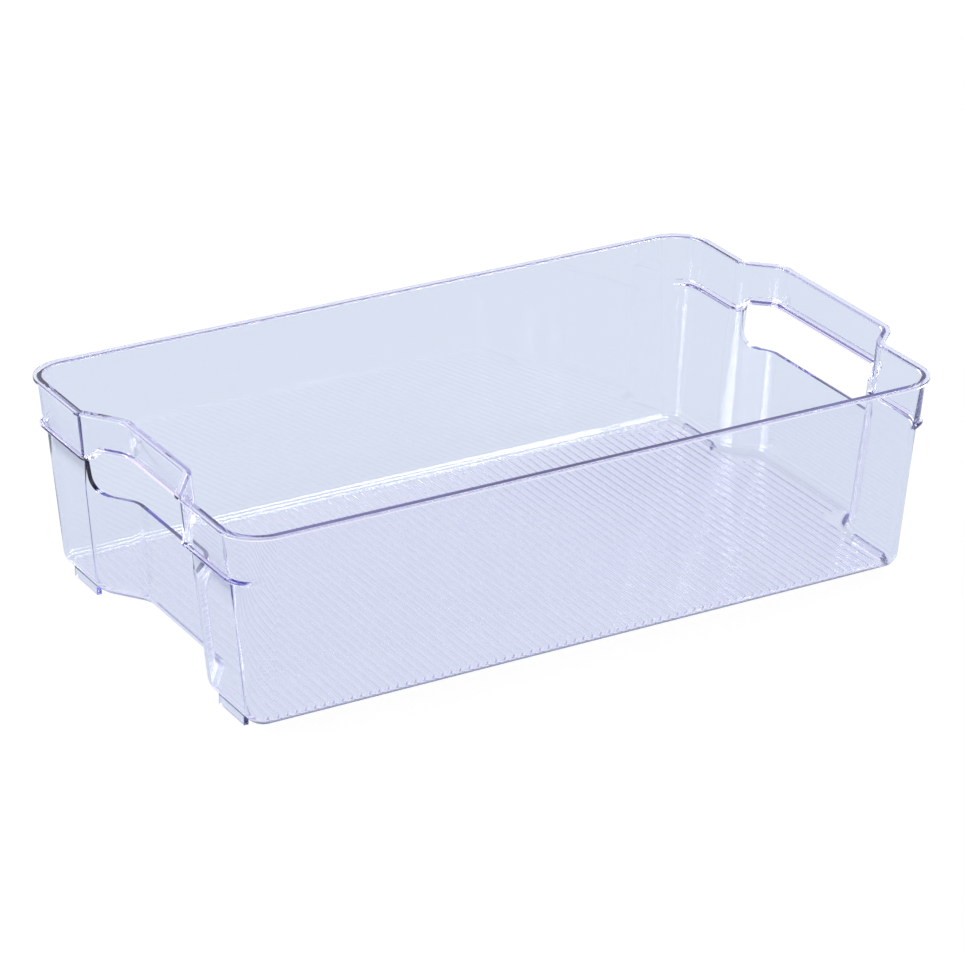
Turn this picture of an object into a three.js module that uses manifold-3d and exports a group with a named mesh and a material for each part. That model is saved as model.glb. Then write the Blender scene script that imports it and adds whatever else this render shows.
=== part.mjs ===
// A clear fridge drawer organizer: one moulded bin with a ribbed floor and a flat rim lip.
// The middle of both short ends stands toward +X, recessed at the left and proud at the right,
// and carries a handle bar over a hand slot. A bead runs round each end under a shallow band.
// Millimetres, +Z up, +X to the proud end. The origin is under the middle of the whole bin,
// level with the undersides of its feet.
import * as THREE from 'three';
import { mergeVertices } from 'three/addons/utils/BufferGeometryUtils.js';
import Module from 'manifold-3d';

// Driving dimensions of the tub, over the outer edge of the rim
const bodyLength = 368;
const bodyWidth = 223;
const overallHeight = 100;
const rimCornerRadius = 20;
const baseCornerRadius = 14;

// The stepped middle of each end: how far it stands toward +X, and half its width along Y
// where the jog leaves the corner section (foot) and where it meets the handle bar (head)
const endStep = 14.4;
const leftJogFoot = 51;
const leftJogHead = 31;
const rightJogFoot = 60;
const rightJogHead = 46.5;
const jogFootFillet = 3;
const jogHeadFillet = 9;

// Walls and floor
const wallThickness = 2;
const floorThickness = 2.2;
const endWallLean = 10.1;
const sideWallLean = 8.3;
const baseEdgeRadius = 2.5;
const floorFilletRadius = 4.5;

// Rim lip: a flat flange that overhangs the walls all round
const lipWidth = 4.1;
const lipThickness = 1.4;
const lipEdgeRound = 0.4;

// Band and bead round each end, measured down from the rim to the bead's middle
const bandDepth = 24;
const barDepth = 18.2;
const bandProud = 1.4;
const beadProud = 1.2;
const beadHeight = 2.4;
const beadEdgeRound = 0.5;
const bandFadeShare = 0.6;
const jogRiseShare = 0.4;

// Hand slots under the handle bars
const slotDepth = 42.8;
const leftSlotSideGap = 1.2;
const rightSlotSideGap = 3.5;
const slotCornerRadius = 9;
const slotBeadGap = 0.4;

// Ribs on the floor, parallel to the short ends
const ribPitch = 4.6;
const ribBaseWidth = 2.6;
const ribTopWidth = 1.2;
const ribHeight = 0.6;
const ribEndGap = 1.5;

// Low foot rails under the corner sections
const footHeight = 3;
const footWidth = 2.4;
const footLength = 25;
const footEdgeGap = 0.5;
const footCornerGap = 13.6;

// One overrun for every cut and joint between solids
const overrun = 0.5;

// Steps that round curves are drawn with
const cornerSteps = 8;
const footFilletSteps = 2;
const headFilletSteps = 4;
const edgeSteps = 3;
const slotCornerSteps = 6;
const jogStationShares = [0.1, 0.2, 0.3, 0.4];

// Levels and places worked out from the sizes above
const undersideZ = footHeight;
const floorZ = undersideZ + floorThickness;
const lipUndersideZ = overallHeight - lipThickness;
const beadZ = overallHeight - bandDepth;
const barRise = bandDepth - barDepth;
const overhang = lipWidth - wallThickness;
const wallHeight = lipUndersideZ - undersideZ;
const endInsetAtBase = overhang + endWallLean;
const sideInsetAtBase = overhang + sideWallLean;
const middleShift = -endStep / 2;
const jogs = {
  left: { side: -1, foot: leftJogFoot, head: leftJogHead, slotSideGap: leftSlotSideGap },
  right: { side: 1, foot: rightJogFoot, head: rightJogHead, slotSideGap: rightSlotSideGap },
};

const smooth = (t) => {
  const u = Math.min(1, Math.max(0, t));
  return u * u * (3 - 2 * u);
};

// How deep a wall leans in at a height, as a share of its whole lean
const leanShare = (z) => Math.max(0, (lipUndersideZ - z) / wallHeight);

// Half widths of a jog once the wall is set in: the proud end draws together, the recess spreads
function jogHalves(end, inset) {
  const slant = Math.atan2(endStep, end.foot - end.head);
  const draw = -end.side * inset * Math.tan(slant / 2);
  return { foot: end.foot + draw, head: end.head + draw };
}

// How far the band and bead have risen toward the handle bar at a share of the way up the jog
const riseAt = (share) => smooth(share / jogRiseShare);

// The corners of the plan at an inset, anticlockwise from the front right
function planCorners(endInset, sideInset, cornerRadius) {
  const x = bodyLength / 2 - endInset;
  const y = bodyWidth / 2 - sideInset;
  const right = jogHalves(jogs.right, endInset);
  const left = jogHalves(jogs.left, endInset);
  const cornerTo = (fadesFromEnd) => (
    { radius: cornerRadius, steps: cornerSteps, rise: 0, isCorner: true, fadesFromEnd });
  const foot = { radius: jogFootFillet, steps: footFilletSteps, rise: 0 };
  const head = { radius: jogHeadFillet, steps: headFilletSteps, rise: 1 };
  return [
    { x, y: -y, ...cornerTo(false) },
    { x, y: -right.foot, ...foot, jogAfter: 1 },
    { x: x + endStep, y: -right.head, ...head },
    { x: x + endStep, y: right.head, ...head, jogAfter: -1 },
    { x, y: right.foot, ...foot },
    { x, y, ...cornerTo(true) },
    { x: -x, y, ...cornerTo(false) },
    { x: -x, y: left.foot, ...foot, jogAfter: 1 },
    { x: -x + endStep, y: left.head, ...head },
    { x: -x + endStep, y: -left.head, ...head, jogAfter: -1 },
    { x: -x, y: -left.foot, ...foot },
    { x: -x, y: -y, ...cornerTo(true) },
  ];
}

// How far the band stands proud at a share of the way round a fillet, as a share of its whole:
// it runs round the end and dies away within the corners, before the long sides
function bandAt(at, share) {
  if (!at.isCorner) {
    return 1;
  }
  const fromEnd = at.fadesFromEnd ? share : 1 - share;
  return 1 - smooth(fromEnd / bandFadeShare);
}

// Points along the rounded corner at `at`, each with its outward normal
function filletPoints(before, at, after) {
  const toBefore = new THREE.Vector2(before.x - at.x, before.y - at.y).normalize();
  const toAfter = new THREE.Vector2(after.x - at.x, after.y - at.y).normalize();
  const turn = Math.PI - Math.acos(toBefore.dot(toAfter));
  const left = Math.sign(toAfter.cross(toBefore));
  const tangent = at.radius * Math.tan(turn / 2);
  const start = new THREE.Vector2(at.x, at.y).addScaledVector(toBefore, tangent);
  const inward = new THREE.Vector2(toBefore.y, -toBefore.x).multiplyScalar(left);
  const centre = start.clone().addScaledVector(inward, at.radius);
  const points = [];
  for (let i = 0; i <= at.steps; i += 1) {
    const angle = left * turn * i / at.steps;
    const spoke = start.clone().sub(centre).rotateAround(new THREE.Vector2(), angle);
    const normal = spoke.clone().normalize().multiplyScalar(left);
    const band = bandAt(at, i / at.steps);
    points.push({ x: centre.x + spoke.x, y: centre.y + spoke.y, normal, band, rise: at.rise });
  }
  return points;
}

// Extra points up or down a jog, where the band rises to the handle bar
function jogStations(from, to, at) {
  const run = new THREE.Vector2(to.x - from.x, to.y - from.y);
  const normal = new THREE.Vector2(run.y, -run.x).normalize();
  const stations = jogStationShares.map((share) => {
    const along = at.jogAfter > 0 ? share : 1 - share;
    return { x: from.x + run.x * along, y: from.y + run.y * along, normal, band: 1, rise: riseAt(share) };
  });
  return at.jogAfter > 0 ? stations : stations.reverse();
}

// One closed outline of the plan, set in from the rim's outer edge, with the same points at any inset
function planOutline(endInset, sideInset, cornerRadius) {
  const corners = planCorners(endInset, sideInset, cornerRadius);
  const fillets = corners.map((at, i) => filletPoints(
    corners[(i + corners.length - 1) % corners.length], at, corners[(i + 1) % corners.length]));
  return corners.flatMap((at, i) => {
    const next = fillets[(i + 1) % corners.length];
    return at.jogAfter ? [...fillets[i], ...jogStations(fillets[i].at(-1), next[0], at)] : fillets[i];
  });
}

// A ring of the shell: an outline at a height, with a height and a bulge that may vary along it
function ring({ endInset, sideInset, z, bulge = () => 0 }) {
  const level = typeof z === 'function' ? z : () => z;
  const depth = Math.min(1, leanShare(level({ rise: 0 })));
  const radius = rimCornerRadius + (baseCornerRadius - rimCornerRadius) * depth;
  return planOutline(endInset, sideInset, radius).map((point) => {
    const out = bulge(point);
    return [point.x + point.normal.x * out, point.y + point.normal.y * out, level(point)];
  });
}

// A ring on a leaning wall face, set in by the lean at its height and an extra amount
function wallRing({ z, extra = 0, bulge }) {
  const height = typeof z === 'function' ? z({ rise: 0 }) : z;
  const share = leanShare(height);
  return ring({
    endInset: overhang + endWallLean * share + extra,
    sideInset: overhang + sideWallLean * share + extra,
    z,
    bulge,
  });
}

// The rings of the outside, from the underside up to the top of the lip
function outerRings() {
  const rings = [];
  for (let i = 0; i <= edgeSteps; i += 1) {
    const angle = (Math.PI / 2) * (i / edgeSteps);
    const extra = baseEdgeRadius * (1 - Math.sin(angle));
    const z = undersideZ + baseEdgeRadius * (1 - Math.cos(angle));
    rings.push(wallRing({ z, extra }));
  }
  const beadLevel = (offset) => (point) => beadZ + barRise * point.rise + offset;
  const full = bandProud + beadProud;
  rings.push(wallRing({ z: beadLevel(-beadHeight / 2) }));
  rings.push(wallRing({ z: beadLevel(beadEdgeRound - beadHeight / 2), bulge: (p) => full * p.band }));
  rings.push(wallRing({ z: beadLevel(beadHeight / 2 - beadEdgeRound), bulge: (p) => full * p.band }));
  rings.push(wallRing({ z: beadLevel(beadHeight / 2), bulge: (p) => bandProud * p.band }));
  const flat = (inset, z) => ring({ endInset: inset, sideInset: inset, z });
  rings.push(flat(overhang, lipUndersideZ));
  rings.push(flat(lipEdgeRound, lipUndersideZ));
  rings.push(flat(0, lipUndersideZ + lipEdgeRound));
  rings.push(flat(0, overallHeight - lipEdgeRound));
  rings.push(flat(lipEdgeRound, overallHeight));
  return rings;
}

// The rings of the inside, from the top of the lip down to the edge of the floor
function innerRings() {
  const flat = (inset, z) => ring({ endInset: inset, sideInset: inset, z });
  const rings = [
    flat(lipWidth - lipEdgeRound, overallHeight),
    flat(lipWidth, overallHeight - lipEdgeRound),
    wallRing({ z: lipUndersideZ, extra: wallThickness }),
  ];
  for (let i = 0; i <= edgeSteps; i += 1) {
    const angle = (Math.PI / 2) * (i / edgeSteps);
    const extra = wallThickness + floorFilletRadius * (1 - Math.cos(angle));
    const z = floorZ + floorFilletRadius * (1 - Math.sin(angle));
    rings.push(wallRing({ z, extra }));
  }
  return rings;
}

// Triangles that fill a flat outline, facing up or down
function capFaces(outline, firstIndex, facesUp) {
  const contour = outline.map(([x, y]) => new THREE.Vector2(x, y));
  return THREE.ShapeUtils.triangulateShape(contour, []).flatMap(([a, b, c]) => (
    facesUp ? [firstIndex + a, firstIndex + b, firstIndex + c]
      : [firstIndex + a, firstIndex + c, firstIndex + b]));
}

// A closed shell through a list of rings, filled in at its first and last ring
function shellGeometry(rings) {
  const count = rings[0].length;
  const index = capFaces(rings[0], 0, false);
  for (let r = 0; r + 1 < rings.length; r += 1) {
    for (let i = 0; i < count; i += 1) {
      const low = r * count;
      const next = (i + 1) % count;
      index.push(low + i, low + next, low + count + next);
      index.push(low + i, low + count + next, low + count + i);
    }
  }
  index.push(...capFaces(rings.at(-1), (rings.length - 1) * count, true));
  const geometry = new THREE.BufferGeometry();
  geometry.setAttribute('position', new THREE.Float32BufferAttribute(rings.flat(2), 3));
  geometry.setIndex(index);
  return geometry;
}

// The upper edge of a hand slot at a share of the way up its jog, just under the bead
const slotTopAt = (share) => beadZ - beadHeight / 2 - slotBeadGap + barRise * riseAt(share);

// The prism that cuts one hand slot, drawn in the Y-Z plane and run through the end wall along X
function slotCutter(end) {
  const inset = overhang + endWallLean * leanShare(beadZ);
  const halves = jogHalves(end, inset);
  const half = halves.foot - end.slotSideGap;
  const bottom = overallHeight - slotDepth;
  const shape = new THREE.Shape();
  shape.moveTo(slotCornerRadius - half, bottom);
  shape.lineTo(half - slotCornerRadius, bottom);
  shape.absarc(half - slotCornerRadius, bottom + slotCornerRadius, slotCornerRadius, -Math.PI / 2, 0);
  const shareAt = (y) => (halves.foot - y) / (halves.foot - halves.head);
  const stations = [shareAt(half), ...jogStationShares.filter((share) => share > shareAt(half))];
  const topEdge = stations.map((share) => [
    halves.foot - (halves.foot - halves.head) * share, slotTopAt(share)]);
  topEdge.forEach(([y, z]) => shape.lineTo(y, z));
  topEdge.reverse().forEach(([y, z]) => shape.lineTo(-y, z));
  shape.absarc(slotCornerRadius - half, bottom + slotCornerRadius, slotCornerRadius, Math.PI, Math.PI * 1.5);
  const reach = endStep + endInsetAtBase + lipWidth;
  const geometry = new THREE.ExtrudeGeometry(shape, {
    depth: reach + overrun, bevelEnabled: false, curveSegments: slotCornerSteps });
  // Turned so that the drawing's X and Y lie along Y and Z, and its depth along X
  geometry.rotateX(Math.PI / 2);
  geometry.rotateZ(Math.PI / 2);
  const nearX = end.side * bodyLength / 2 + (end.side > 0 ? -endInsetAtBase - lipWidth : -overrun);
  geometry.translate(nearX, 0, 0);
  return geometry;
}

// A low rib across the floor, from one place along Y to another
function ribGeometry(x, fromY, toY) {
  const root = floorZ - overrun;
  const shape = new THREE.Shape();
  shape.moveTo(-ribBaseWidth / 2, root);
  shape.lineTo(ribBaseWidth / 2, root);
  shape.lineTo(ribBaseWidth / 2, floorZ);
  shape.lineTo(ribTopWidth / 2, floorZ + ribHeight);
  shape.lineTo(-ribTopWidth / 2, floorZ + ribHeight);
  shape.lineTo(-ribBaseWidth / 2, floorZ);
  const geometry = new THREE.ExtrudeGeometry(shape, { depth: toY - fromY, bevelEnabled: false });
  geometry.rotateX(Math.PI / 2);
  geometry.translate(x, toY, 0);
  return geometry;
}

// Every rib of the floor, from the recessed wall to the corner walls of the proud end
function floorRibs() {
  const endEdge = bodyLength / 2 - endInsetAtBase - wallThickness - floorFilletRadius - ribEndGap;
  const sideEdge = bodyWidth / 2 - sideInsetAtBase - wallThickness - floorFilletRadius - ribEndGap;
  const gaps = Math.floor((endEdge * 2 - endStep - ribBaseWidth) / ribPitch);
  const ribs = [];
  for (let i = 0; i <= gaps; i += 1) {
    const x = endStep / 2 + (i - gaps / 2) * ribPitch;
    const inCorner = Math.abs(x) > endEdge - baseCornerRadius;
    const half = inCorner ? sideEdge - baseCornerRadius / 2 : sideEdge;
    ribs.push(ribGeometry(x, -half, half));
  }
  return ribs;
}

// The four foot rails, one under each corner section, each rooted in the rounded edge of the base
function footRails() {
  const x = bodyLength / 2 - endInsetAtBase - footEdgeGap - footWidth / 2;
  const y = bodyWidth / 2 - sideInsetAtBase - footCornerGap - footLength / 2;
  const height = footHeight + baseEdgeRadius;
  const rails = [];
  for (const xSide of [-1, 1]) {
    for (const ySide of [-1, 1]) {
      const rail = new THREE.BoxGeometry(footWidth, footLength, height);
      rail.translate(xSide * x, ySide * y, height / 2);
      rails.push(rail);
    }
  }
  return rails;
}

const wasm = await Module();
wasm.setup();

// A closed geometry as a solid that can be joined and cut
function toSolid(geometry) {
  const bare = geometry.clone();
  bare.deleteAttribute('normal');
  bare.deleteAttribute('uv');
  const merged = mergeVertices(bare);
  return new wasm.Manifold(new wasm.Mesh({
    numProp: 3,
    vertProperties: new Float32Array(merged.attributes.position.array),
    triVerts: new Uint32Array(merged.index.array),
  }));
}

// A joined or cut solid as a geometry to draw
function toGeometry(solid) {
  const { vertProperties, triVerts } = solid.getMesh();
  const geometry = new THREE.BufferGeometry();
  geometry.setAttribute('position', new THREE.BufferAttribute(vertProperties, 3));
  geometry.setIndex(new THREE.BufferAttribute(triVerts, 1));
  geometry.computeVertexNormals();
  return geometry;
}

// The whole moulding: the shell with its feet and ribs joined on and its hand slots cut through
function organizerBin() {
  let solid = toSolid(shellGeometry([...outerRings(), ...innerRings()]));
  for (const piece of [...footRails(), ...floorRibs()]) {
    solid = solid.add(toSolid(piece));
  }
  for (const end of [jogs.left, jogs.right]) {
    solid = solid.subtract(toSolid(slotCutter(end)));
  }
  const clearPlastic = new THREE.MeshStandardMaterial({
    color: 0xccd6f0, roughness: 0.08, metalness: 0, transparent: true, opacity: 0.35 });
  const mesh = new THREE.Mesh(toGeometry(solid), clearPlastic);
  mesh.name = 'organizer_bin';
  mesh.position.x = middleShift;
  return mesh;
}

const group = new THREE.Group();
group.add(organizerBin());

export default group;
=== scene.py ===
"""A clear fridge drawer organizer, injection moulded in one piece, on a plain white sweep.

The bin is one shell of clear polystyrene: leaning walls, a flat rim lip, a bead under a shallow band
round each end, a hand slot under each handle bar, a ribbed floor and four low foot rails. Each level
of the shell is one closed outline, and the shell is extruded from outline to outline, from the
underside, over the lip and down to the floor. Sizes are in millimetres until a mesh is finished, and
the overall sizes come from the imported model's box.
"""

from __future__ import annotations

import logging
import math
from dataclasses import dataclass
from enum import Enum

import bmesh
import bpy
from mathutils import Matrix, Vector

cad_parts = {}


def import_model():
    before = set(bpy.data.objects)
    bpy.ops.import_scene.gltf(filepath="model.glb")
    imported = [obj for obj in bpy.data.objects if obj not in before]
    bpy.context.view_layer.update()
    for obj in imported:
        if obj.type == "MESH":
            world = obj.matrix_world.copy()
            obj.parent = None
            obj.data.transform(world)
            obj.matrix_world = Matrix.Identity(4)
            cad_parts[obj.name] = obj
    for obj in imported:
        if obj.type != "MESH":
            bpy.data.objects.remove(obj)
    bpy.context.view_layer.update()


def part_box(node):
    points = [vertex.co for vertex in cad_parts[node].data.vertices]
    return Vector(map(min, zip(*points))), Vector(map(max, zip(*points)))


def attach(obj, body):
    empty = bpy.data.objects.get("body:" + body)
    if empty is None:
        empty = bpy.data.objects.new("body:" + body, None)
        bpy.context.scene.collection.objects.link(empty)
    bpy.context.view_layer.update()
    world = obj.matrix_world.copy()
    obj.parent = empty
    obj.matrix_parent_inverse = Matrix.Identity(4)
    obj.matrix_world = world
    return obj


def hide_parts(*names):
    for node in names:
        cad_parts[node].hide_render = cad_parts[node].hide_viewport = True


LOG = logging.getLogger("organizer")
MM = 0.001
NODE = "organizer_bin"
BODY = "root"

# The curve between sRGB and linear light.
SRGB_KNEE = 0.04045
SRGB_SLOPE = 12.92
SRGB_OFFSET = 0.055
SRGB_POWER = 2.4

# The colour sockets of a Mix node, which share their names with its sockets of other kinds.
MIX_FIRST = 6
MIX_SECOND = 7
MIX_RESULT = 2


class Bend(Enum):
    """The kinds of upright corner that the plan of the bin has."""

    CORNER = "corner"
    LEFT_FOOT = "left foot"
    LEFT_HEAD = "left head"
    RIGHT_FOOT = "right foot"
    RIGHT_HEAD = "right head"


class Rounds(Enum):
    """What a round takes the sharpness from."""

    CORNERS = "VERTICES"
    EDGES = "EDGES"


class Joining(Enum):
    """What a tool does to the piece that it meets."""

    ADD = "UNION"
    CUT = "DIFFERENCE"


def smooth_share(share: float) -> float:
    """Return a share from 0 to 1 eased at both ends."""
    held = min(1.0, max(0.0, share))
    return held * held * (3.0 - 2.0 * held)


def arc_shares(steps: int) -> list[tuple[float, float]]:
    """Give the sine and the cosine at even steps of a quarter turn, both ends included."""
    turns = [math.pi / 2.0 * index / steps for index in range(steps + 1)]
    return [(math.sin(turn), math.cos(turn)) for turn in turns]


def linear_colour(hex_text: str) -> tuple[float, float, float, float]:
    """Turn an sRGB hex colour into the linear values that shaders take.

    Args:
        hex_text: Six hex digits, with or without a leading hash.

    Returns:
        Linear red, green and blue, with an alpha of 1.
    """
    digits = hex_text.lstrip("#")
    linear: list[float] = []
    for start in (0, 2, 4):
        level = int(digits[start:start + 2], 16) / 255.0
        bent = ((level + SRGB_OFFSET) / (1.0 + SRGB_OFFSET)) ** SRGB_POWER
        linear.append(level / SRGB_SLOPE if level <= SRGB_KNEE else bent)
    return (*linear, 1.0)


def add_node(
    tree: bpy.types.NodeTree,
    kind: str,
    settings: dict[str, object] | None = None,
    values: dict[str | int, object] | None = None,
    links: dict[str | int, bpy.types.NodeSocket] | None = None,
) -> bpy.types.Node:
    """Add one shader node with its settings, socket values and incoming links.

    Args:
        tree: The node tree to add to.
        kind: The node's type name.
        settings: Attributes of the node.
        values: Values for its own input sockets, by socket name or number.
        links: Sockets that feed its inputs, by input name or number.

    Returns:
        The new node.
    """
    node = tree.nodes.new(kind)
    for name, value in (settings or {}).items():
        setattr(node, name, value)
    for name, value in (values or {}).items():
        node.inputs[name].default_value = value
    for name, socket in (links or {}).items():
        tree.links.new(socket, node.inputs[name])
    return node


def sees_background(tree: bpy.types.NodeTree) -> bpy.types.NodeSocket:
    """Add nodes that give 1 to camera, glossy and transmission rays, and 0 to all others.

    Args:
        tree: The node tree to add to.

    Returns:
        The socket that gives the 1 or the 0.
    """
    path = add_node(tree, "ShaderNodeLightPath")
    mirrored = add_node(
        tree, "ShaderNodeMath", {"operation": "MAXIMUM"},
        links={0: path.outputs["Is Camera Ray"], 1: path.outputs["Is Glossy Ray"]},
    )
    through = add_node(
        tree, "ShaderNodeMath", {"operation": "MAXIMUM"},
        links={0: mirrored.outputs["Value"], 1: path.outputs["Is Transmission Ray"]},
    )
    return through.outputs["Value"]


def round_off(
    bm: bmesh.types.BMesh,
    geom: list[bmesh.types.BMVert] | list[bmesh.types.BMEdge],
    offset: float,
    steps: int,
    what: Rounds,
) -> None:
    """Round corners of an outline or edges of a solid with an even arc.

    Args:
        bm: What is rounded.
        geom: The corners or the edges.
        offset: How far from the corner or the edge the arc starts.
        steps: In how many steps it turns.
        what: Whether corners or edges are rounded.
    """
    bmesh.ops.bevel(
        bm, geom=geom, offset=offset, offset_type="OFFSET", affect=what.value,
        segments=steps, profile=0.5, material=-1,
    )


@dataclass(frozen=True)
class ClearPolystyrene:
    """Crystal polystyrene, injection moulded against polished steel.

    It is glass clear and glossy, with hardly any haze. The blue-violet toner that hides the resin's
    yellow is too weak to see across one wall. It gathers where light runs a long way inside the
    plastic, so the rim, the bead and the edges of the slots look violet; their dark violet is partly
    painted shade, from the dim violet top of the world that only gloss and refraction see.
    """

    name: str = "clear_polystyrene_polished"
    refraction: float = 1.57
    roughness: float = 0.02
    toner: str = "#3A20C8"
    toner_per_metre: float = 18.0
    face: str = "#FFFFFF"

    def material(self) -> bpy.types.Material:
        """Build the material: a clear dielectric skin over a weakly absorbing body.

        Returns:
            The material.
        """
        made = bpy.data.materials.new(self.name)
        made.use_nodes = True
        tree = made.node_tree
        tree.nodes.clear()
        skin = add_node(tree, "ShaderNodeBsdfPrincipled", values={
            "Base Color": linear_colour(self.face),
            "Roughness": self.roughness,
            "IOR": self.refraction,
            "Transmission Weight": 1.0,
        })
        toner = add_node(tree, "ShaderNodeVolumeAbsorption", values={
            "Color": linear_colour(self.toner),
            "Density": self.toner_per_metre,
        })
        add_node(tree, "ShaderNodeOutputMaterial", links={
            "Surface": skin.outputs["BSDF"],
            "Volume": toner.outputs["Volume"],
        })
        return made


@dataclass(frozen=True)
class Jog:
    """The slanted walls that join one end's middle to its corner sections.

    Attributes:
        side: 1 for the right end, -1 for the left.
        foot: Half the width between their feet, at the rim's outer edge.
        head: Half the width between their heads, at the rim's outer edge.
        slot_gap: How far the hand slot's sides stay inside their feet.
        band_fillet: Radius of their feet within the band.
    """

    side: int
    foot: float
    head: float
    slot_gap: float
    band_fillet: float

    def halves(self, step: float, inset: float) -> tuple[float, float]:
        """Give half the width at the foot and at the head once the wall is set in.

        Args:
            step: How far the end's middle stands toward +X.
            inset: How far the wall is set in from the rim's outer edge.

        Returns:
            The half width at the foot, and the half width at the head.
        """
        slant = math.atan2(step, self.foot - self.head)
        draw = -self.side * inset * math.tan(slant / 2.0)
        return self.foot + draw, self.head + draw


@dataclass(frozen=True)
class Level:
    """One closed outline of the shell.

    Attributes:
        z: Height over the resting plane.
        extra: How far in from the wall's outer face, or from the rim's edge when on the lip.
        bulge: How far out it stands round the ends, fading within the corners.
        on_band: Whether it rises with the band toward the handle bars.
        on_lip: Whether it belongs to the lip, which doesn't lean.
    """

    z: float
    extra: float = 0.0
    bulge: float = 0.0
    on_band: bool = False
    on_lip: bool = False


@dataclass(frozen=True)
class Inset:
    """How far one outline is set in from the rim's outer edge, and the radii it turns with.

    Attributes:
        end: Inset of the end walls.
        side: Inset of the side walls.
        corner: Radius of the four body corners.
        feet: Radii of the left and the right jogs' feet on the wall's outer face.
        depth: How far the outline lies in from the wall's outer face.
    """

    end: float
    side: float
    corner: float
    feet: tuple[float, float]
    depth: float

    def grown(self, out: float) -> Inset:
        """Give the inset of the outline that stands further out by one distance all round."""
        return Inset(self.end - out, self.side - out, self.corner + out, self.feet, self.depth - out)


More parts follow.
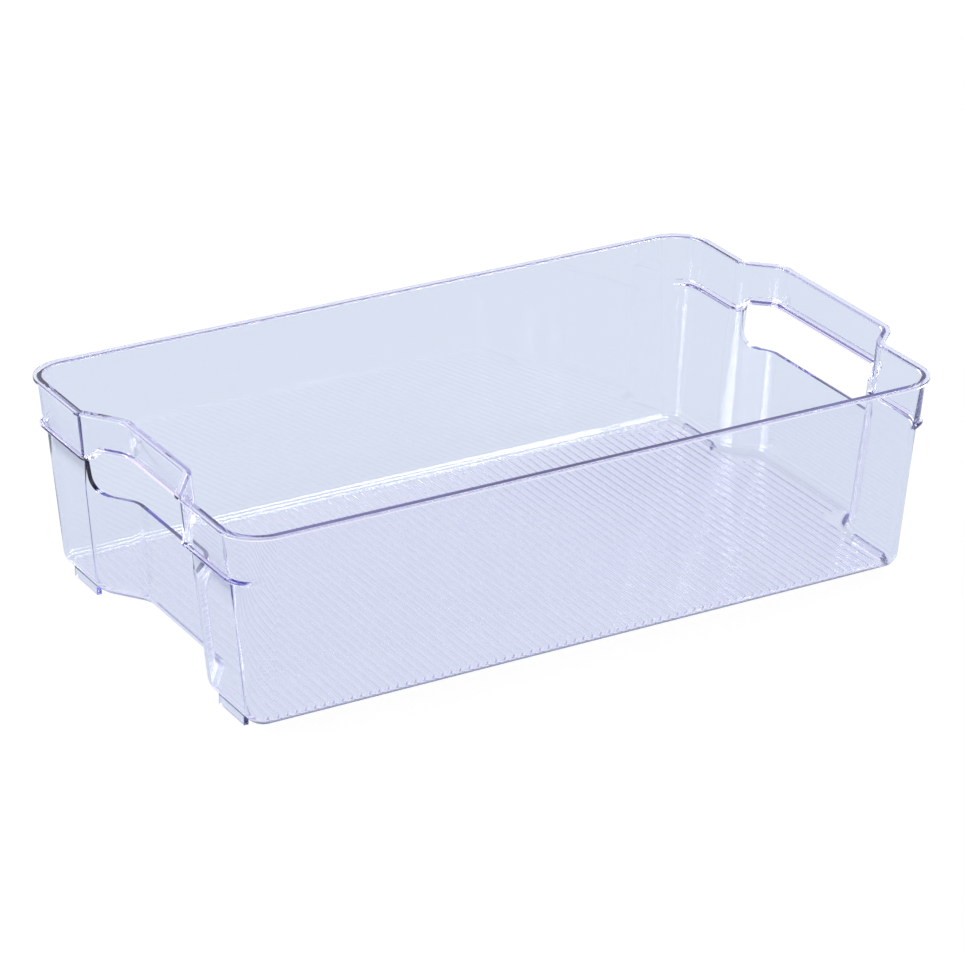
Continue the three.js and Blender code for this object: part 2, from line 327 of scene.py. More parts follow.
@dataclass(frozen=True)
class TubPlan:
    """The plan of the tub over the rim's outer edge, and every outline that is drawn from it.

    Attributes:
        length: Overall length with the step.
        width: Overall width.
        height: Overall height with the feet.
        step: How far both ends' middles stand toward +X.
        rim_corner_radius: Radius of the rim's four corners.
        base_corner_radius: Radius of the four corners at the wall's foot.
        wall_foot_fillet: Radius of the jogs' feet below the waist.
        head_fillet: Radius of the jogs' heads.
        foot_height: Height of the foot rails under the tub.
        lip_width: Width of the lip.
        lip_thickness: Thickness of the lip.
        wall: Thickness of the walls.
        band_proud: How far the end bands stand out from the walls.
        end_lean: How far in the end walls lean from the lip to the foot.
        side_lean: How far in the side walls lean from the lip to the foot.
        bar_rise: How much higher the bead runs along the handle bars.
        band_foot: Height from which the jogs' feet grow rounder downward.
        waist: Height at which they have grown.
        rise_share: The share of a jog over which the bead rises.
        fade_from: The share of a corner's turn from which the band fades.
        fade_to: The share of a corner's turn at which the band is gone.
        corner_steps: Steps round a body corner.
        foot_steps: Steps round a jog's foot.
        head_steps: Steps round a jog's head.
        jog_cuts: Cuts along the straight part of a jog.
        shortest_jog_share: The least a jog's straight part runs along X and Y, as a share of the step.
        left: The jogs of the left end.
        right: The jogs of the right end.
    """

    length: float
    width: float
    height: float
    step: float = 14.4
    rim_corner_radius: float = 20.0
    base_corner_radius: float = 9.0
    wall_foot_fillet: float = 15.0
    head_fillet: float = 11.0
    foot_height: float = 3.0
    lip_width: float = 4.1
    lip_thickness: float = 1.4
    wall: float = 2.0
    band_proud: float = 1.4
    end_lean: float = 8.7
    side_lean: float = 8.3
    bar_rise: float = 5.8
    band_foot: float = 76.0
    waist: float = 57.2
    rise_share: float = 0.4
    fade_from: float = 0.3
    fade_to: float = 0.68
    corner_steps: int = 14
    foot_steps: int = 6
    head_steps: int = 10
    jog_cuts: int = 11
    shortest_jog_share: float = 1.0 / 3.0
    left: Jog = Jog(side=-1, foot=51.0, head=31.0, slot_gap=-0.8, band_fillet=2.2)
    right: Jog = Jog(side=1, foot=60.0, head=46.5, slot_gap=3.5, band_fillet=10.0)

    @property
    def half_length(self) -> float:
        """Half the length of the rim's rectangle, without the step."""
        return (self.length - self.step) / 2.0

    @property
    def shift(self) -> float:
        """Where the middle of the rim's rectangle lies along X."""
        return -self.step / 2.0

    @property
    def overhang(self) -> float:
        """How far the lip stands out from the wall."""
        return self.lip_width - self.wall

    @property
    def lip_under(self) -> float:
        """The height of the lip's underside."""
        return self.height - self.lip_thickness

    def lean_share(self, z: float) -> float:
        """Give how much of its lean a wall has taken at a height, from 0 under the lip."""
        return max(0.0, (self.lip_under - z) / (self.lip_under - self.foot_height))

    def jog(self, x: float) -> Jog:
        """Pick the jog of the end that a place along X is nearer to."""
        return self.right if x > self.shift else self.left

    def end_inset(self, z: float) -> float:
        """Give how far the outer face of an end wall is set in at a height, without its band."""
        return self.overhang + self.band_proud + self.end_lean * self.lean_share(z)

    def feet(self, z: float) -> tuple[float, float]:
        """Give the radii of the jogs' feet at a height, which grow below the band.

        Args:
            z: The height.

        Returns:
            The left jogs' radius and the right jogs'.
        """
        share = min(1.0, max(0.0, (self.band_foot - z) / (self.band_foot - self.waist)))
        left, right = self.left.band_fillet, self.right.band_fillet
        below = self.wall_foot_fillet
        return left + (below - left) * share, right + (below - right) * share

    def inset_of(self, level: Level) -> Inset:
        """Give how far a level is set in, and its radii.

        Args:
            level: The outline in question.

        Returns:
            Its inset, without its rise and its bulge.
        """
        feet = self.feet(level.z)
        if level.on_lip:
            corner = self.rim_corner_radius - level.extra
            return Inset(level.extra, level.extra, corner, feet, level.extra - self.overhang)
        share = self.lean_share(level.z)
        top_radius = self.rim_corner_radius - self.overhang
        radius = top_radius + (self.base_corner_radius - top_radius) * share
        side = self.overhang + self.side_lean * share
        return Inset(self.end_inset(level.z), side, radius, feet, 0.0).grown(-level.extra)

    def corners(self, inset: Inset) -> list[tuple[float, float, Bend]]:
        """List the sharp corners of the plan, anticlockwise from the front right.

        Args:
            inset: How far the outline is set in.

        Returns:
            Each corner's X and Y and its kind.
        """
        x, y = self.half_length - inset.end, self.width / 2.0 - inset.side
        right_foot, right_head = self.right.halves(self.step, inset.end)
        left_foot, left_head = self.left.halves(self.step, inset.end)
        right = [
            (x, -y, Bend.CORNER), (x, -right_foot, Bend.RIGHT_FOOT),
            (x + self.step, -right_head, Bend.RIGHT_HEAD), (x + self.step, right_head, Bend.RIGHT_HEAD),
            (x, right_foot, Bend.RIGHT_FOOT), (x, y, Bend.CORNER),
        ]
        left = [
            (-x, y, Bend.CORNER), (-x, left_foot, Bend.LEFT_FOOT),
            (self.step - x, left_head, Bend.LEFT_HEAD), (self.step - x, -left_head, Bend.LEFT_HEAD),
            (-x, -left_foot, Bend.LEFT_FOOT), (-x, -y, Bend.CORNER),
        ]
        return [(px + self.shift, py, bend) for px, py, bend in right + left]

    def bevels(self, inset: Inset) -> dict[Bend, tuple[float, int]]:
        """Give each bend's tangent length and its number of steps.

        Args:
            inset: The outline's inset, whose depth keeps the walls equally thick round the fillets.

        Returns:
            The tangent length and the steps of every bend.
        """
        left_half = math.atan2(self.step, self.left.foot - self.left.head) / 2.0
        right_half = math.atan2(self.step, self.right.foot - self.right.head) / 2.0
        convex_foot, convex_head = inset.feet[0] - inset.depth, self.head_fillet - inset.depth
        hollow_foot, hollow_head = inset.feet[1] + inset.depth, self.head_fillet + inset.depth
        return {
            Bend.CORNER: (inset.corner, self.corner_steps),
            Bend.LEFT_FOOT: (convex_foot * math.tan(left_half), self.foot_steps),
            Bend.LEFT_HEAD: (hollow_head * math.tan(left_half), self.head_steps),
            Bend.RIGHT_FOOT: (hollow_foot * math.tan(right_half), self.foot_steps),
            Bend.RIGHT_HEAD: (convex_head * math.tan(right_half), self.head_steps),
        }

    def flat_outline(self, inset: Inset) -> bmesh.types.BMesh:
        """Draw one rounded outline flat at zero height, as edges only.

        Args:
            inset: How far it is set in, and its radii.

        Returns:
            A bmesh that the caller frees.
        """
        ring = bmesh.new()
        corners = self.corners(inset)
        verts = [ring.verts.new((x, y, 0.0)) for x, y, _ in corners]
        ring.faces.new(verts)
        for bend, (tangent, steps) in self.bevels(inset).items():
            alike = [vert for vert, (_, _, kind) in zip(verts, corners) if kind is bend]
            round_off(ring, alike, tangent, steps, Rounds.CORNERS)
        slanted = [edge for edge in ring.edges if self.is_jog(edge)]
        bmesh.ops.subdivide_edges(ring, edges=slanted, cuts=self.jog_cuts)
        bmesh.ops.delete(ring, geom=ring.faces[:], context="FACES_ONLY")
        return ring

    def is_jog(self, edge: bmesh.types.BMEdge) -> bool:
        """Tell whether an edge is a straight jog, and not one step of a fillet."""
        run = edge.verts[1].co - edge.verts[0].co
        return min(abs(run.x), abs(run.y)) > self.step * self.shortest_jog_share

    def rise_at(self, place: Vector, z: float) -> float:
        """Give how far the band has risen toward the handle bar at a place.

        Args:
            place: The place in plan.
            z: The height that it rises from.

        Returns:
            A share from 0 at the corner sections to 1 along the bar.
        """
        foot, head = self.jog(place.x).halves(self.step, self.end_inset(z))
        return smooth_share((foot - abs(place.y)) / (foot - head) / self.rise_share)

    def band_at(self, place: Vector, inset: Inset) -> float:
        """Give how much of its bulge the band has at a place.

        Args:
            place: The place in plan.
            inset: The inset of the outline that the place is on.

        Returns:
            A share, 1 round the end and 0 along the sides, that fades within the corner's turn.
        """
        along = abs(place.x - self.shift) - (self.half_length - inset.end - inset.corner)
        across = abs(place.y) - (self.width / 2.0 - inset.side - inset.corner)
        if across <= 0.0:
            return 1.0
        turn = math.atan2(across, max(along, 0.0)) / (math.pi / 2.0)
        return 1.0 - smooth_share((turn - self.fade_from) / (self.fade_to - self.fade_from))

    def outline(self, level: Level) -> bmesh.types.BMesh:
        """Draw a level's outline at its height, with its rise and its bulge.

        Args:
            level: The outline to draw.

        Returns:
            A bmesh that the caller frees.
        """
        inset = self.inset_of(level)
        ring = self.flat_outline(inset)
        if level.on_band:
            upper = self.flat_outline(self.inset_of(Level(level.z + self.bar_rise, level.extra)))
            for low, high in zip(ring.verts, upper.verts):
                rise = self.rise_at(low.co, level.z)
                low.co = low.co.lerp(high.co, rise)
                low.co.z = self.bar_rise * rise
            upper.free()
        if level.bulge:
            plain = self.flat_outline(inset)
            proud = self.flat_outline(inset.grown(level.bulge))
            for vert, near, far in zip(ring.verts, plain.verts, proud.verts):
                vert.co += (far.co - near.co) * self.band_at(near.co, inset)
            plain.free()
            proud.free()
        bmesh.ops.translate(ring, verts=ring.verts[:], vec=(0.0, 0.0, level.z))
        return ring


@dataclass(frozen=True)
class RibCut:
    """One cut across the floor.

    Attributes:
        lift: How far the cut is raised.
        near: Where its rib begins on each side of the middle, below zero for a rib without a gap.
        end: Where its rib ends on each side of the middle.
    """

    lift: float = 0.0
    near: float = 0.0
    end: float = 0.0

    def raises(self, across: float, ease: float) -> bool:
        """Tell whether the cut is raised at a distance from the middle, past its ends by an ease."""
        return self.near + ease < across < self.end - ease


@dataclass(frozen=True)
class FloorRibs:
    """The low ribs across the floor, which run on into the bay and beside the recess.

    Attributes:
        plan: The plan of the tub.
        inset: The inset of the floor's own outline, inside its fillet.
        floor_z: Height of the floor's upper face.
        pitch: From rib to rib.
        base: Width of a rib at the floor.
        height: Height of a rib.
        end_gap: From a rib's base to the floor's fillet.
        end_slope: Length of the slope at a rib's ends.
        steps: Steps across a rib's rounded section.
        place_digits: Decimals that a cut's place along X is known to.
        span_digits: Decimals that a rib's ends are placed to.
        tolerance: Points closer than this are one when the floor is cut.
    """

    plan: TubPlan
    inset: Inset
    floor_z: float
    pitch: float = 4.6
    base: float = 2.6
    height: float = 0.25
    end_gap: float = 0.2
    end_slope: float = 1.0
    steps: int = 6
    place_digits: int = 4
    span_digits: int = 3
    tolerance: float = 1e-5

    @property
    def reach(self) -> float:
        """Half of a rib's base, with the gap beside it."""
        return self.base / 2.0 + self.end_gap

    @property
    def far(self) -> float:
        """Half the length of the floor's rectangle, without the step."""
        return self.plan.half_length - self.inset.end

    def span(self, place: float) -> tuple[float, float]:
        """Give where one rib begins and ends along Y, on each side of the middle.

        Args:
            place: Where the rib's middle lies along X.

        Returns:
            Its two distances from the middle, the nearer one below zero for a rib without a gap.
        """
        plan, inset = self.plan, self.inset
        bevels = plan.bevels(inset)
        near, end = -self.end_slope, plan.width / 2.0 - inset.side - self.end_gap
        if abs(place - plan.shift) + self.reach > self.far - inset.corner:
            end -= inset.corner
        if place - self.reach < plan.shift - self.far + plan.step:
            near = plan.left.halves(plan.step, inset.end)[0] + bevels[Bend.LEFT_FOOT][0]
        if place + self.reach > plan.shift + self.far:
            end = plan.right.halves(plan.step, inset.end)[1] - bevels[Bend.RIGHT_HEAD][0]
        return round(near, self.span_digits), round(end, self.span_digits)

    def cuts(self) -> dict[float, RibCut]:
        """List the cuts across the floor, several to a rib.

        Returns:
            Each cut by its place along X.
        """
        plan = self.plan
        first = plan.shift - self.far + self.reach
        last = plan.shift + self.far + plan.step - self.reach
        count = math.floor((last - first) / self.pitch)
        first = (first + last - count * self.pitch) / 2.0
        cuts: dict[float, RibCut] = {}
        for index in range(count + 1):
            middle = first + index * self.pitch
            near, end = self.span(middle)
            for step in range(self.steps + 1):
                share = step / self.steps
                place = round(middle + (share - 0.5) * self.base, self.place_digits)
                cuts[place] = RibCut(self.height * math.sin(math.pi * share) ** 2, near, end)
        return cuts

    def planes(self, cuts: dict[float, RibCut]) -> list[tuple[Vector, Vector]]:
        """List the planes that cut the floor, first along it at the ribs' ends and then across it.

        Args:
            cuts: The cuts across the floor.

        Returns:
            A point and a normal for every plane.
        """
        ends: set[float] = set()
        for cut in cuts.values():
            ends.update((cut.near, cut.near + self.end_slope, cut.end - self.end_slope, cut.end))
        along = [sign * y for y in sorted(ends) if y > self.end_slope for sign in (-1.0, 1.0)]
        planes = [(Vector((0.0, y, self.floor_z)), Vector((0.0, 1.0, 0.0))) for y in along]
        return planes + [(Vector((x, 0.0, self.floor_z)), Vector((1.0, 0.0, 0.0))) for x in cuts]

    def raise_on(self, bm: bmesh.types.BMesh, floor: list[bmesh.types.BMFace]) -> None:
        """Cut the floor at every rib and lift the cuts to the ribs' rounded section.

        Args:
            bm: The shell.
            floor: The floor's face.
        """
        cuts = self.cuts()
        faces = list(floor)
        for point, normal in self.planes(cuts):
            geom = dict.fromkeys(item for face in faces for item in (face, *face.edges, *face.verts))
            parted = bmesh.ops.bisect_plane(
                bm, geom=list(geom), dist=self.tolerance, plane_co=point, plane_no=normal)
            faces = [item for item in parted["geom"] if isinstance(item, bmesh.types.BMFace)]
        level = RibCut()
        for vert in {vert for face in faces for vert in face.verts}:
            cut = cuts.get(round(vert.co.x, self.place_digits), level)
            if cut.raises(abs(vert.co.y), self.end_slope / 2.0):
                vert.co.z += cut.lift


@dataclass(frozen=True)
class HandSlot:
    """The prism that cuts one hand slot through an end wall, close under the bead.

    Attributes:
        plan: The plan of the tub.
        jog: The jog of the end that it cuts.
        bead_z: Height of the middle of the bead at the corner sections.
        bead_height: Height of the bead.
        depth: From the rim's top down to the slot's lower edge.
        corner: Radius of its lower corners.
        bead_gap: Between the bead and the slot's upper edge.
        corner_steps: Steps round a lower corner.
        shoulder_steps: Steps along each rising shoulder.
        reach_share: How far the prism reaches past the wall, as a share of the wall's own spread.
    """

    plan: TubPlan
    jog: Jog
    bead_z: float
    bead_height: float
    depth: float = 42.8
    corner: float = 9.0
    bead_gap: float = 0.3
    corner_steps: int = 10
    shoulder_steps: int = 9
    reach_share: float = 1.5

    def profile(self) -> list[tuple[float, float]]:
        """Draw the slot as it is seen along X, from its two lower corners round over its top.

        Returns:
            Y and Z of each point.
        """
        plan = self.plan
        foot, head = self.jog.halves(plan.step, plan.end_inset(self.bead_z))
        half, low = foot - self.jog.slot_gap, plan.height - self.depth
        crown = foot - (foot - head) * plan.rise_share
        top = self.bead_z - self.bead_height / 2.0 - self.bead_gap
        shoulder: list[tuple[float, float]] = []
        for index in range(self.shoulder_steps + 1):
            y = half + (crown - half) * index / self.shoulder_steps
            rise = smooth_share((foot - y) / (foot - head) / plan.rise_share)
            shoulder.append((y, top + plan.bar_rise * rise))
        return [(-half, low), (half, low), *shoulder, *((-y, z) for y, z in reversed(shoulder))]

    def cutter(self) -> bmesh.types.BMesh:
        """Make the prism.

        Returns:
            A bmesh that the caller frees.
        """
        plan = self.plan
        bm = bmesh.new()
        middle = plan.shift + self.jog.side * plan.half_length
        reach = (plan.step + plan.end_lean + plan.lip_width) * self.reach_share
        verts = [bm.verts.new((middle - reach, y, z)) for y, z in self.profile()]
        bm.faces.new(verts)
        round_off(bm, verts[:2], self.corner, self.corner_steps, Rounds.CORNERS)
        grown = bmesh.ops.extrude_face_region(bm, geom=bm.faces[:])["geom"]
        moved = [item for item in grown if isinstance(item, bmesh.types.BMVert)]
        bmesh.ops.translate(bm, verts=moved, vec=(2.0 * reach, 0.0, 0.0))
        bmesh.ops.recalc_face_normals(bm, faces=bm.faces[:])
        return bm


@dataclass(frozen=True)
class FootRails:
    """The four low rails under the corners, rooted in the rounded lower edge.

    Attributes:
        plan: The plan of the tub.
        width: Width of a rail along X.
        length: Length of a rail along Y.
        edge_gap: From the end wall's foot to the rail's outer face.
        corner_gap: From the side wall's foot to the rail's end.
        root: How far a rail reaches up into the rounded lower edge.
        ease: Radius of a rail's upright edges.
        ease_steps: Steps round them.
    """

    plan: TubPlan
    width: float = 2.4
    length: float = 25.0
    edge_gap: float = 1.6
    corner_gap: float = 13.6
    root: float = 2.5
    ease: float = 0.5
    ease_steps: int = 4

    def rails(self) -> bmesh.types.BMesh:
        """Make the four rails.

        Returns:
            A bmesh that the caller frees.
        """
        plan = self.plan
        tall = plan.foot_height + self.root
        x = plan.half_length - plan.end_inset(plan.foot_height) - self.edge_gap - self.width / 2.0
        y = plan.width / 2.0 - plan.overhang - plan.side_lean - self.corner_gap - self.length / 2.0
        size = Matrix.Diagonal((self.width, self.length, tall, 1.0))
        bm = bmesh.new()
        for x_side in (-1.0, 1.0):
            for y_side in (-1.0, 1.0):
                place = Matrix.Translation((plan.shift + x_side * x, y_side * y, tall / 2.0))
                bmesh.ops.create_cube(bm, size=1.0, matrix=place @ size)
        rises = [(edge, abs(edge.verts[0].co.z - edge.verts[1].co.z)) for edge in bm.edges]
        upright = [edge for edge, rise in rises if rise > tall / 2.0]
        round_off(bm, upright, self.ease, self.ease_steps, Rounds.EDGES)
        return bm


@dataclass(frozen=True)
class BinShell:
    """The moulded shell: its outer and inner walls, its lip, its band and bead, and its ribbed floor.

    Attributes:
        plan: The plan of the tub.
        floor_thickness: Thickness of the floor.
        base_edge_radius: Radius of the lower edge outside.
        floor_fillet: Radius between the walls and the floor inside.
        lip_round: Radius of the lip's edges.
        lip_root_round: Radius between the wall and the lip's underside.
        band_depth: From the rim's top to the middle of the bead.
        bead_proud: How far the bead stands out from the band.
        bead_height: Height of the bead.
        round_steps: Steps round the lower edge and the floor's fillet.
        lip_steps: Steps round the lip's edges and the bead.
    """

    plan: TubPlan
    floor_thickness: float = 2.2
    base_edge_radius: float = 6.5
    floor_fillet: float = 2.2
    lip_round: float = 0.3
    lip_root_round: float = 0.3
    band_depth: float = 24.0
    bead_proud: float = 1.6
    bead_height: float = 3.0
    round_steps: int = 7
    lip_steps: int = 4

    @property
    def floor_z(self) -> float:
        """The height of the floor's upper face."""
        return self.plan.foot_height + self.floor_thickness

    @property
    def bead_z(self) -> float:
        """The height of the middle of the bead at the corner sections."""
        return self.plan.height - self.band_depth

    def base_levels(self) -> list[Level]:
        """Outline the rounded lower edge.

        Returns:
            Its outlines, from the underside up.
        """
        radius, under = self.base_edge_radius, self.plan.foot_height
        return [Level(under + radius * (1.0 - cos), radius * (1.0 - sin))
                for sin, cos in arc_shares(self.round_steps)]

    def bead_levels(self) -> list[Level]:
        """Outline the bead.

        Returns:
            Its outlines, from its root below to the foot of the band above it.
        """
        half, band = self.bead_height / 2.0, self.plan.band_proud
        whole = band + self.bead_proud
        below = [Level(self.bead_z - half * cos, 0.0, whole * sin, on_band=True)
                 for sin, cos in arc_shares(self.lip_steps)]
        above = [Level(self.bead_z + half * sin, 0.0, band + self.bead_proud * cos, on_band=True)
                 for sin, cos in arc_shares(self.lip_steps)]
        return below + above[1:]

    def lip_levels(self) -> list[Level]:
        """Outline the lip.

        Returns:
            Its outlines, from its root under the overhang, round its edge and over to the inside.
        """
        plan, turn, root = self.plan, self.lip_round, self.lip_root_round
        under, top = plan.lip_under, plan.height
        arc = arc_shares(self.lip_steps)
        roots = [Level(under - root * (1.0 - sin), -root * (1.0 - cos), plan.band_proud)
                 for sin, cos in arc]
        outer_low = [Level(under + turn * (1.0 - cos), turn * (1.0 - sin), on_lip=True)
                     for sin, cos in arc]
        outer_top = [Level(top - turn * (1.0 - sin), turn * (1.0 - cos), on_lip=True)
                     for sin, cos in arc]
        inner_top = [Level(top - turn * (1.0 - cos), plan.lip_width - turn * (1.0 - sin), on_lip=True)
                     for sin, cos in arc]
        return roots + outer_low + outer_top + inner_top

    def inner_levels(self) -> list[Level]:
        """Outline the fillet between the inner wall and the floor.

        Returns:
            Its outlines, from the wall down.
        """
        radius, wall = self.floor_fillet, self.plan.wall
        return [Level(self.floor_z + radius * (1.0 - sin), wall + radius * (1.0 - cos))
                for sin, cos in arc_shares(self.round_steps)]

    def levels(self) -> list[Level]:
        """List every outline of the shell.

        Returns:
            The outlines, from the underside over the lip to the floor.
        """
        plan, half = self.plan, self.bead_height / 2.0
        outer_waist, inner_waist = Level(plan.waist), Level(plan.waist, plan.wall)
        step_top = Level(self.bead_z + half, plan.wall, plan.band_proud, on_band=True)
        step_foot = Level(self.bead_z - half, plan.wall, 0.0, on_band=True)
        outside = [*self.base_levels(), outer_waist, *self.bead_levels(), *self.lip_levels()]
        return [*outside, step_top, step_foot, inner_waist, *self.inner_levels()]

    @staticmethod
    def grow(
        bm: bmesh.types.BMesh,
        rim: list[bmesh.types.BMVert],
        edges: list[bmesh.types.BMEdge],
        outline: bmesh.types.BMesh,
    ) -> tuple[list[bmesh.types.BMVert], list[bmesh.types.BMEdge]]:
        """Extrude the shell's open rim onto the next outline.

        Args:
            bm: The shell.
            rim: The corners of its open rim, in the outline's order.
            edges: The edges of its open rim.
            outline: The outline to reach.

        Returns:
            The corners of the new rim, in the outline's order, and its edges.
        """
        place = {tuple(vert.co): index for index, vert in enumerate(rim)}
        grown = bmesh.ops.extrude_edge_only(bm, edges=edges)["geom"]
        fresh = {place[tuple(item.co)]: item for item in grown if isinstance(item, bmesh.types.BMVert)}
        reached = [fresh[index] for index in range(len(rim))]
        on_rim = set(reached)
        lines = [item for item in grown if isinstance(item, bmesh.types.BMEdge)]
        lines = [line for line in lines if on_rim.issuperset(line.verts)]
        for vert, target in zip(reached, outline.verts):
            vert.co = target.co
        return reached, lines

    def shell(self) -> bmesh.types.BMesh:
        """Extrude from outline to outline, fill the underside and the floor, and raise the ribs.

        Returns:
            A bmesh that the caller frees.
        """
        outlines = [self.plan.outline(level) for level in self.levels()]
        bm = outlines[0].copy()
        rim, edges = bm.verts[:], bm.edges[:]
        for outline in outlines[1:]:
            rim, edges = self.grow(bm, rim, edges, outline)
        floor = bmesh.ops.edgeloop_fill(bm, edges=edges)["faces"]
        underside = [edge for edge in bm.edges if edge.is_boundary]
        bmesh.ops.edgeloop_fill(bm, edges=underside)
        for outline in outlines:
            outline.free()
        floor_inset = self.plan.inset_of(Level(self.floor_z, self.plan.wall + self.floor_fillet))
        FloorRibs(self.plan, floor_inset, self.floor_z).raise_on(bm, floor)
        bmesh.ops.recalc_face_normals(bm, faces=bm.faces[:])
        return bm


def as_object(bm: bmesh.types.BMesh, name: str) -> bpy.types.Object:
    """Turn a bmesh in millimetres into a linked object in metres, at the origin, and free it.

    Args:
        bm: The mesh in millimetres.
        name: The object's name.

    Returns:
        The object.
    """
    bmesh.ops.scale(bm, vec=(MM, MM, MM), verts=bm.verts[:])
    mesh = bpy.data.meshes.new(name)
    bm.to_mesh(mesh)
    bm.free()
    made = bpy.data.objects.new(name, mesh)
    bpy.context.scene.collection.objects.link(made)
    return made


def settle(piece: bpy.types.Object) -> None:
    """Replace a piece's mesh by what its modifiers make of it, and drop the modifiers.

    Args:
        piece: The piece.
    """
    graph = bpy.context.evaluated_depsgraph_get()
    shaped = piece.evaluated_get(graph)
    final = bpy.data.meshes.new_from_object(shaped, preserve_all_data_layers=True, depsgraph=graph)
    old = piece.data
    piece.modifiers.clear()
    piece.data = final
    bpy.data.meshes.remove(old)
    final.name = piece.name


def combine(piece: bpy.types.Object, tool: bpy.types.Object, joining: Joining) -> None:
    """Join a tool to a piece or cut it out, and remove the tool.

    Args:
        piece: The piece.
        tool: What is joined or cut out.
        joining: Which of the two.
    """
    modifier = piece.modifiers.new("combine", "BOOLEAN")
    modifier.operation = joining.value
    modifier.solver = "EXACT"
    modifier.object = tool
    settle(piece)
    mesh = tool.data
    bpy.data.objects.remove(tool)
    bpy.data.meshes.remove(mesh)


@dataclass(frozen=True)
class OrganizerBin:
    """The whole moulding: the shell with its feet joined on and its hand slots cut through.

    Attributes:
        plan: The plan of the tub.
        finish: What it is moulded from.
        name: The piece's name.
        crease_degrees: Edges that turn less than this are shaded smooth.
        double_gap: Points closer than this are merged, in metres.
        shortest_edge: Edges shorter than this are dissolved, in metres.
    """

    plan: TubPlan
    finish: ClearPolystyrene = ClearPolystyrene()
    name: str = "organizer_bin_moulding"
    crease_degrees: float = 32.0
    double_gap: float = 1e-6
    shortest_edge: float = 1e-7

    def build(self) -> bpy.types.Object:
        """Model the moulding, dress it and fix it to the frame.

        Returns:
            The finished piece.
        """
        shell = BinShell(self.plan)
        piece = as_object(shell.shell(), self.name)
        combine(piece, as_object(FootRails(self.plan).rails(), "foot_rails"), Joining.ADD)
        for jog in (self.plan.left, self.plan.right):
            slot = HandSlot(self.plan, jog, shell.bead_z, shell.bead_height)
            combine(piece, as_object(slot.cutter(), "slot_cutter"), Joining.CUT)
        self.smooth(piece)
        piece.data.materials.clear()
        piece.data.materials.append(self.finish.material())
        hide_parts(NODE)
        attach(piece, BODY)
        return piece

    def smooth(self, piece: bpy.types.Object) -> None:
        """Merge stray doubles, mark the creases and shade flat faces flat between soft rounds.

        Args:
            piece: The moulding.
        """
        bm = bmesh.new()
        bm.from_mesh(piece.data)
        bmesh.ops.remove_doubles(bm, verts=bm.verts[:], dist=self.double_gap)
        bmesh.ops.dissolve_degenerate(bm, edges=bm.edges[:], dist=self.shortest_edge)
        crease = math.radians(self.crease_degrees)
        for face in bm.faces:
            face.smooth = True
        for edge in bm.edges:
            edge.smooth = edge.calc_face_angle(0.0) < crease
        bm.to_mesh(piece.data)
        bm.free()
        weighted = piece.modifiers.new("weighted", "WEIGHTED_NORMAL")
        weighted.keep_sharp = True
        settle(piece)


@dataclass(frozen=True)
class Camera:
    """The camera, as solved from the rim's straight edges in the photograph.

    Attributes:
        azimuth: Where it stands round the bin, in degrees from the front toward the right.
        elevation: How high it stands, in degrees over the horizon.
        roll: How far it is turned about its own axis, in degrees.
        distance: From the aim to the camera.
        focal_pixels: Focal length in the photograph's pixels.
        image_pixels: Width of the photograph in pixels.
        sensor: Width of the sensor.
        aim: The place that it looks at.
        aim_right: How far the aim is moved to the camera's right.
        aim_up: How far the aim is moved to the camera's up.
        clip_near: Where its view starts, in metres.
        clip_far: Where its view ends, in metres.
    """

    azimuth: float = -30.08
    elevation: float = 24.46
    roll: float = 0.37
    distance: float = 2039.63
    focal_pixels: float = 4363.16
    image_pixels: float = 964.0
    sensor: float = 36.0
    aim: tuple[float, float, float] = (-7.2, 0.0, 53.0)
    aim_right: float = 0.26
    aim_up: float = -7.36
    clip_near: float = 0.1
    clip_far: float = 50.0

    def build(self) -> None:
        """Create the camera and make it the scene's own."""
        around, above = math.radians(self.azimuth), math.radians(self.elevation)
        flat = math.cos(above)
        back = Vector((math.sin(around) * flat, -math.cos(around) * flat, math.sin(above)))
        right = (-back).cross(Vector((0.0, 0.0, 1.0))).normalized()
        up = right.cross(-back)
        target = Vector(self.aim) + right * self.aim_right + up * self.aim_up
        turn = math.radians(self.roll)
        level_right = right * math.cos(turn) + up * math.sin(turn)
        level_up = up * math.cos(turn) - right * math.sin(turn)
        data = bpy.data.cameras.new("camera")
        data.sensor_width = self.sensor
        data.lens = self.focal_pixels / self.image_pixels * self.sensor
        data.clip_start = self.clip_near
        data.clip_end = self.clip_far
        camera = bpy.data.objects.new("camera", data)
        axes = Matrix((level_right, level_up, back)).transposed().to_4x4()
        camera.matrix_world = Matrix.Translation((target + back * self.distance) * MM) @ axes
        bpy.context.scene.collection.objects.link(camera)
        bpy.context.scene.camera = camera


@dataclass(frozen=True)
class Softbox:
    """One soft lamp: an evenly lit rectangle that faces the bin.

    Attributes:
        name: The lamp's name.
        place: Where it hangs, in metres.
        size: Its two sides, in metres.
        power: Its power in watts.
        aim: The place that it faces, in metres.
    """

    name: str
    place: tuple[float, float, float]
    size: tuple[float, float]
    power: float
    aim: tuple[float, float, float] = (0.0, 0.0, 0.05)

    def build(self) -> None:
        """Hang the lamp and turn it to the bin."""
        data = bpy.data.lights.new(self.name, "AREA")
        data.shape = "RECTANGLE"
        data.size, data.size_y = self.size
        data.energy = self.power
        lamp = bpy.data.objects.new(self.name, data)
        spot = Vector(self.place)
        lamp.location = spot
        lamp.rotation_euler = (Vector(self.aim) - spot).to_track_quat("-Z", "Y").to_euler()
        bpy.context.scene.collection.objects.link(lamp)


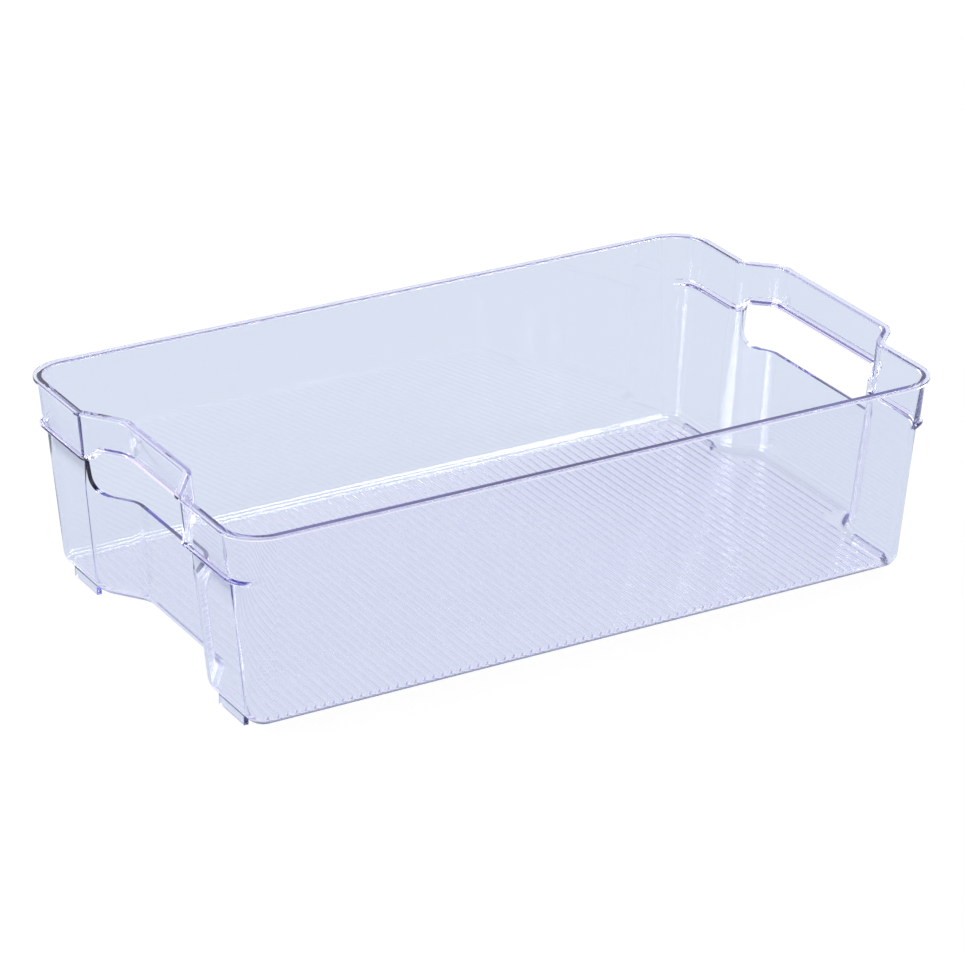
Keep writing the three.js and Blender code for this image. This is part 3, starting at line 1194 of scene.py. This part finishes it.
@dataclass(frozen=True)
class Studio:
    """A pale floor under soft lamps, white to the camera, with painted pale blue shade and a painted
    lavender and violet world that only gloss and the clear plastic show.

    Attributes:
        floor_size: Side of the floor, in millimetres.
        floor_gap: How far the floor lies under the rails, so that no two faces share one plane.
        floor_glow: The share of the floor's tone that doesn't depend on the light.
        floor_paper: The floor's colour under the lamps.
        camera_white: What the camera sees past the bin.
        painted_sweep_shade: Painted pale blue shade, the floor's colour in gloss and through plastic in
            place of the bin's tinted shadow; the camera sees the floor white.
        world_strength: How strongly the world lights the bin.
        painted_highlight_horizon: Painted highlight, the world's bright lavender lower colour, seen
            only in gloss and through plastic.
        painted_highlight_strength: How strong that painted highlight is, brighter than the white light
            the floor gets.
        painted_shade_ceiling: Painted dark violet shade, the world's colour overhead, seen only in
            gloss and through plastic; it darkens edges that look upward.
        painted_shade_from: The rise of a direction at which that painted shade starts.
        painted_shade_to: The rise of a direction at which that painted shade is full.
        softboxes: The lamps.
    """

    floor_size: float = 12000.0
    floor_gap: float = 0.2
    floor_glow: float = 0.96
    floor_paper: str = "#F4F4F4"
    camera_white: str = "#FFFFFF"
    painted_sweep_shade: str = "#D8E1F0"
    world_strength: float = 0.8
    painted_highlight_horizon: str = "#E8E4F4"
    painted_highlight_strength: float = 1.3
    painted_shade_ceiling: str = "#5A5498"
    painted_shade_from: float = 0.45
    painted_shade_to: float = 0.62
    softboxes: tuple[Softbox, ...] = (
        Softbox("left_softbox", place=(-1.1, 0.25, 0.45), size=(0.8, 0.9), power=14.0),
        Softbox("right_softbox", place=(1.2, 0.5, 0.6), size=(0.8, 0.9), power=9.0),
        Softbox("top_softbox", place=(0.5, -0.1, 1.05), size=(0.45, 0.7), power=11.0),
    )

    def build(self) -> None:
        """Lay the floor, set the world and hang the lamps."""
        self.lay_floor()
        self.set_world()
        for softbox in self.softboxes:
            softbox.build()
        bpy.context.scene.view_settings.view_transform = "Standard"

    def lay_floor(self) -> None:
        """Lay one large floor a hair under the rails."""
        bm = bmesh.new()
        below = Matrix.Translation((0.0, 0.0, -self.floor_gap))
        bmesh.ops.create_grid(bm, x_segments=1, y_segments=1, size=self.floor_size / 2.0, matrix=below)
        floor = as_object(bm, "floor")
        floor.data.materials.append(self.floor_material())

    def floor_material(self) -> bpy.types.Material:
        """Build the painted board of the floor: matt, white to the camera, with a trace of real shadow;
        gloss and refraction see painted pale blue shade on it instead.

        Returns:
            The material.
        """
        made = bpy.data.materials.new("white_floor_painted_shade")
        made.use_nodes = True
        tree = made.node_tree
        tree.nodes.clear()
        path = add_node(tree, "ShaderNodeLightPath")
        # Painted shade: gloss and refraction see the floor pale blue, in place of the bin's tinted
        # shadow, while the camera sees it white.
        tone = add_node(
            tree, "ShaderNodeMix", {"data_type": "RGBA"},
            values={MIX_FIRST: linear_colour(self.painted_sweep_shade), MIX_SECOND: linear_colour(self.camera_white)},
            links={"Factor": path.outputs["Is Camera Ray"]},
        )
        paper = add_node(
            tree, "ShaderNodeBsdfDiffuse",
            values={"Color": linear_colour(self.floor_paper)},
        )
        glow = add_node(
            tree, "ShaderNodeEmission",
            values={"Strength": 1.0},
            links={"Color": tone.outputs[MIX_RESULT]},
        )
        share = add_node(
            tree, "ShaderNodeMath", {"operation": "MULTIPLY"},
            values={1: self.floor_glow},
            links={0: sees_background(tree)},
        )
        both = add_node(
            tree, "ShaderNodeMixShader",
            links={0: share.outputs["Value"], 1: paper.outputs["BSDF"], 2: glow.outputs["Emission"]},
        )
        add_node(tree, "ShaderNodeOutputMaterial", links={"Surface": both.outputs["Shader"]})
        return made

    def set_world(self) -> None:
        """Set the world: white to the camera, white light for the floor, and a painted reflection in
        gloss and through plastic: a bright lavender painted highlight low down and dark violet painted
        shade overhead.
        """
        world = bpy.data.worlds.new("studio")
        world.use_nodes = True
        tree = world.node_tree
        tree.nodes.clear()
        white = linear_colour(self.camera_white)
        path = add_node(tree, "ShaderNodeLightPath")
        place = add_node(tree, "ShaderNodeTexCoord")
        axes = add_node(tree, "ShaderNodeSeparateXYZ", links={"Vector": place.outputs["Generated"]})
        # Mask of the painted shade overhead: 0 low down, 1 at the top of the world.
        height = add_node(
            tree, "ShaderNodeMapRange", {"interpolation_type": "SMOOTHSTEP"},
            values={"From Min": self.painted_shade_from, "From Max": self.painted_shade_to},
            links={"Value": axes.outputs["Z"]},
        )
        painted_reflection_dome = add_node(
            tree, "ShaderNodeMix", {"data_type": "RGBA"},
            values={MIX_FIRST: linear_colour(self.painted_highlight_horizon), MIX_SECOND: linear_colour(self.painted_shade_ceiling)},
            links={"Factor": height.outputs["Result"]},
        )
        lit = add_node(
            tree, "ShaderNodeBackground",
            values={"Color": white, "Strength": self.world_strength},
        )
        # Painted reflection: gloss and refraction see a bright lavender painted highlight low down and
        # dark violet painted shade overhead, not the white light that reaches the floor.
        mirrored = add_node(
            tree, "ShaderNodeBackground",
            values={"Strength": self.painted_highlight_strength},
            links={"Color": painted_reflection_dome.outputs[MIX_RESULT]},
        )
        seen = add_node(tree, "ShaderNodeBackground", values={"Color": white, "Strength": 1.0})
        unseen = add_node(
            tree, "ShaderNodeMixShader",
            links={0: sees_background(tree), 1: lit.outputs["Background"],
                   2: mirrored.outputs["Background"]},
        )
        both = add_node(
            tree, "ShaderNodeMixShader",
            links={0: path.outputs["Is Camera Ray"], 1: unseen.outputs["Shader"],
                   2: seen.outputs["Background"]},
        )
        add_node(tree, "ShaderNodeOutputWorld", links={"Surface": both.outputs["Shader"]})
        bpy.context.scene.world = world


def set_bounces(depth: int = 96) -> None:
    """Let light run along and through every wall of the bin before it is dropped.

    Args:
        depth: How many bounces a ray may have.
    """
    cycles = bpy.context.scene.cycles
    cycles.max_bounces = depth
    cycles.transmission_bounces = depth
    cycles.glossy_bounces = depth
    cycles.transparent_max_bounces = depth


def main() -> None:
    """Build the bin, the studio and the camera."""
    logging.basicConfig(level=logging.INFO, format="%(name)s: %(message)s")
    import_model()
    low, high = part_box(NODE)
    size = (high - low) / MM
    plan = TubPlan(length=size.x, width=size.y, height=size.z)
    piece = OrganizerBin(plan).build()
    LOG.info("%s has %d faces", piece.name, len(piece.data.polygons))
    Studio().build()
    Camera().build()
    set_bounces()
    LOG.info("studio and camera are set")


if __name__ == "__main__":
    main()
